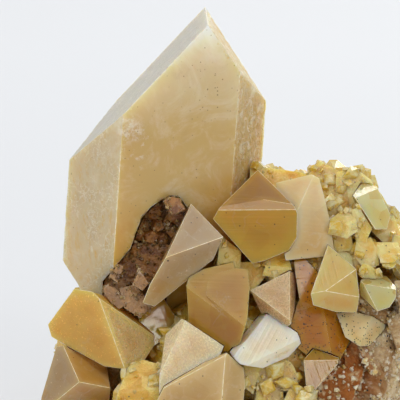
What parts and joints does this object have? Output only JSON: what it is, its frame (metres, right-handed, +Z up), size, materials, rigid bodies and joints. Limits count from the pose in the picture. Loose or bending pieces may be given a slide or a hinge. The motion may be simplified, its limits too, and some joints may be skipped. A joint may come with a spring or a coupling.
{
  "type": "barite crystal specimen",
  "caption": "Tall milky barite crystal with a gabled top, standing in a druse of smaller honey crystals on a granular matrix.",
  "frame": {"origin": "middle of the specimen seen from above, on the flat foot it rests on", "axes": "+Z up along the tall crystal, -Y towards the viewer of the crystals' side, +X to that viewer's right"},
  "size_m": [0.0756, 0.0678, 0.0826],
  "materials": {
    "large_crystal": "milky, smooth above and etched on the left face",
    "front_cream_crystal": "milky, satin",
    "front_wedge_crystal": "milky, satin",
    "mirror_bright_crystal": "clear, mirror-bright face",
    "triangle_crystal": "cloudy, finely textured",
    "wedge_crystal": "cloudy, glossy",
    "square_crystal": "clear honey, glossy, striated",
    "tabular_crystal": "satin honey",
    "slab_pair": "cloudy honey, glossy",
    "pyramid_crystal": "clear straw, glossy",
    "glassy_crystal": "clear, glassy",
    "tall_pale_crystal": "frosted",
    "lower_left_crystal": "cloudy brown, satin",
    "golden_crystal": "clear gold, glossy",
    "clear_tan_crystal": "clear tan, glossy",
    "amber_crystal": "clear amber, glossy",
    "speckled_crystal": "frosted with black specks",
    "pale_yellow_crystal": "clear pale yellow, glossy",
    "pit_crust": "sparkling brown crust",
    "druse": "honey, glossy",
    "matrix": "granular, matt"
  },
  "bodies": {
    "root": {"large_crystal": "large_crystal", "front_cream_crystal": "front_cream_crystal", "front_wedge_crystal": "front_wedge_crystal", "mirror_bright_crystal": "mirror_bright_crystal", "triangle_crystal": "triangle_crystal", "wedge_crystal": "wedge_crystal", "square_crystal": "square_crystal", "tabular_crystal": "tabular_crystal", "slab_pair": "slab_pair", "pyramid_crystal": "pyramid_crystal", "glassy_crystal": "glassy_crystal", "tall_pale_crystal": "tall_pale_crystal", "lower_left_crystal": "lower_left_crystal", "golden_crystal": "golden_crystal", "clear_tan_crystal": "clear_tan_crystal", "amber_crystal": "amber_crystal", "speckled_crystal": "speckled_crystal", "pale_yellow_crystal": "pale_yellow_crystal", "pit_crust": "pit_crust", "druse": "druse", "matrix": "matrix"}
  },
  "joints": []
}
